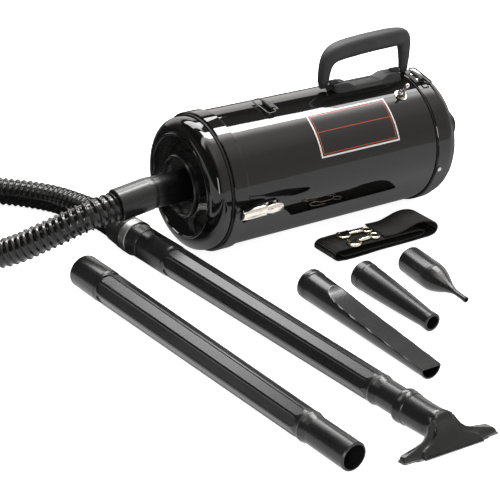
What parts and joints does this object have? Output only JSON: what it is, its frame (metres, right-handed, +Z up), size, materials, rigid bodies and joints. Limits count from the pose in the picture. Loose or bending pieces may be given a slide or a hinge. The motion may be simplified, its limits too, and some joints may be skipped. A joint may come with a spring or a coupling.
{
  "type": "portable canister vacuum and blower kit",
  "caption": "Small black horizontal canister vacuum and blower with a bail handle, two draw latches, ribbed hose, wands, floor nozzle, tools and a shoulder strap.",
  "frame": {"origin": "middle of the laid-out set on the floor, leaving out the hose and the cuffs and band on it", "axes": "+X along the canister's axis toward its blower port, +Y away from the side with the label, +Z up"},
  "size_m": [1.0895, 1.0736, 0.2488],
  "materials": {
    "black_gloss_paint": "gloss",
    "satin_black_plastic": "satin",
    "matte_black_plastic": "matte",
    "ribbed_hose_plastic": "gloss",
    "nickel_plate": "polished",
    "pale_gold_plate": "polished",
    "bright_steel": "satin",
    "silver_band": "satin",
    "wound_copper_iron": "satin",
    "black_rubber": "matte",
    "bag_paper": "matte",
    "bag_card": "matte",
    "label_print": "satin",
    "woven_webbing": "matte"
  },
  "bodies": {
    "machine": {"housing_tube": "black_gloss_paint", "front_band": "black_gloss_paint", "rear_cap": "black_gloss_paint", "rear_gasket": "black_rubber", "blower_port": "satin_black_plastic", "cap_screws": "bright_steel", "cord_gland": "matte_black_plastic", "label_plate": "label_print", "handle_base": "matte_black_plastic", "handle_screws": "bright_steel", "handle_pins": "bright_steel", "switch_body": "matte_black_plastic", "switch_nut": "nickel_plate", "front_ring_clip": "matte_black_plastic", "rear_ring_clip": "matte_black_plastic", "latch_base_near": "nickel_plate", "latch_base_far": "nickel_plate", "latch_rivets": "nickel_plate", "motor_bulkhead": "matte_black_plastic", "motor_cushion": "black_rubber", "fan_shell": "silver_band", "motor_field": "wound_copper_iron", "motor_frame": "bright_steel", "motor_bearings": "bright_steel", "brush_holders": "matte_black_plastic"},
    "cover": {"front_cover": "black_gloss_paint", "port_collar": "satin_black_plastic", "cover_gasket": "black_rubber", "dust_bag": "bag_paper", "bag_collar": "bag_card"},
    "rotor": {"armature": "wound_copper_iron", "fan_wheels": "silver_band"},
    "hose_line": {"hose_cuff": "satin_black_plastic", "hose": "ribbed_hose_plastic", "hose_end_cuff": "satin_black_plastic", "hose_end_band": "silver_band"},
    "wand_in_use": {"wand_attached": "satin_black_plastic"},
    "nozzle": {"floor_nozzle": "satin_black_plastic"},
    "second_wand": {"wand_spare": "satin_black_plastic"},
    "crevice": {"crevice_tool": "satin_black_plastic"},
    "blower_tool": {"blower_nozzle": "satin_black_plastic"},
    "pin_tool": {"pin_nozzle": "satin_black_plastic"},
    "strap": {"strap_webbing": "woven_webbing", "snap_hook_left": "pale_gold_plate", "snap_hook_right": "pale_gold_plate"},
    "gate_left": {"hook_gate_left": "pale_gold_plate"},
    "gate_right": {"hook_gate_right": "pale_gold_plate"},
    "handle": {"handle_bail": "matte_black_plastic"},
    "toggle": {"switch_lever": "nickel_plate"},
    "ring_front": {"front_ring": "nickel_plate"},
    "ring_rear": {"rear_ring": "nickel_plate"},
    "latch_near": {"latch_lever_near": "nickel_plate"},
    "latch_far": {"latch_lever_far": "nickel_plate"},
    "hook_near": {"latch_hook_near": "nickel_plate"},
    "hook_far": {"latch_hook_far": "nickel_plate"}
  },
  "joints": [
    {"name": "cover_slide", "type": "slide", "parent": "machine", "child": "cover", "axis": [-1, 0, 0], "range_m": [0, 0.024]},
    {"name": "latch_near_swing", "type": "hinge", "parent": "machine", "child": "latch_near", "pos_m": [-0.0982, 0.1381, 0.07738], "axis": [0, 0.1478, -0.989], "range_deg": [0, 120.5]},
    {"name": "latch_far_swing", "type": "hinge", "parent": "machine", "child": "latch_far", "pos_m": [-0.0982, 0.327, 0.07738], "axis": [0, 0.1478, 0.989], "range_deg": [0, 120.5]},
    {"name": "hook_near_swing", "type": "hinge", "parent": "latch_near", "child": "hook_near", "pos_m": [-0.0882, 0.1381, 0.07738], "axis": [0, 0.1478, -0.989], "range_deg": [-120.5, 0]},
    {"name": "hook_far_swing", "type": "hinge", "parent": "latch_far", "child": "hook_far", "pos_m": [-0.0882, 0.327, 0.07738], "axis": [0, 0.1478, 0.989], "range_deg": [-120.5, 0]},
    {"name": "rotor_spin", "type": "hinge", "parent": "machine", "child": "rotor", "pos_m": [0.1293, 0.23255, 0.0915], "axis": [1, 0, 0], "continuous": true},
    {"name": "handle_swing", "type": "hinge", "parent": "machine", "child": "handle", "pos_m": [0.1533, 0.23255, 0.1883], "axis": [1, 0, 0], "range_deg": [-85, 45]},
    {"name": "toggle_throw", "type": "hinge", "parent": "machine", "child": "toggle", "pos_m": [0.1838, 0.18814, 0.17161], "axis": [0, 0.8746, 0.4848], "range_deg": [-24, 0]},
    {"name": "front_ring_swing", "type": "hinge", "parent": "machine", "child": "ring_front", "pos_m": [-0.0117, 0.21977, 0.18241], "axis": [0, 0.9903, 0.1392], "range_deg": [0, 140]},
    {"name": "rear_ring_swing", "type": "hinge", "parent": "machine", "child": "ring_rear", "pos_m": [0.2284, 0.21054, 0.18319], "axis": [0, -0.9724, -0.2334], "range_deg": [0, 80]},
    {"name": "hose_pull", "type": "slide", "parent": "machine", "child": "hose_line", "axis": [-1, 0, 0], "range_m": [0, 0.036]},
    {"name": "wand_pull", "type": "slide", "parent": "hose_line", "child": "wand_in_use", "axis": [0.0706, -0.9975, -0.0058], "range_m": [0, 0.036]},
    {"name": "nozzle_pull", "type": "slide", "parent": "wand_in_use", "child": "nozzle", "axis": [0.0706, -0.9975, -0.0058], "range_m": [0, 0.03]},
    {"name": "second_wand_lift", "type": "slide", "parent": "machine", "child": "second_wand", "axis": [0, 0, 1], "range_m": [0, 0.1]},
    {"name": "crevice_lift", "type": "slide", "parent": "machine", "child": "crevice", "axis": [0, 0, 1], "range_m": [0, 0.1]},
    {"name": "blower_tool_lift", "type": "slide", "parent": "machine", "child": "blower_tool", "axis": [0, 0, 1], "range_m": [0, 0.1]},
    {"name": "pin_tool_lift", "type": "slide", "parent": "machine", "child": "pin_tool", "axis": [0, 0, 1], "range_m": [0, 0.1]},
    {"name": "strap_lift", "type": "slide", "parent": "machine", "child": "strap", "axis": [0, 0, 1], "range_m": [0, 0.1]},
    {"name": "gate_left_swing", "type": "hinge", "parent": "strap", "child": "gate_left", "pos_m": [0.05813, 0.11053, 0.0193], "axis": [0, 0, 1], "range_deg": [0, 18], "stiffness_Nm_per_rad": 0.01},
    {"name": "gate_right_swing", "type": "hinge", "parent": "strap", "child": "gate_right", "pos_m": [0.06121, 0.13438, 0.0193], "axis": [0, 0, 1], "range_deg": [0, 18], "stiffness_Nm_per_rad": 0.01}
  ],
  "couplings": [
    {"joint": "latch_near_swing", "follows": "cover_slide", "rad_per_m": 87.266},
    {"joint": "latch_far_swing", "follows": "cover_slide", "rad_per_m": 87.266},
    {"joint": "hook_near_swing", "follows": "cover_slide", "rad_per_m": -87.266},
    {"joint": "hook_far_swing", "follows": "cover_slide", "rad_per_m": -87.266}
  ]
}
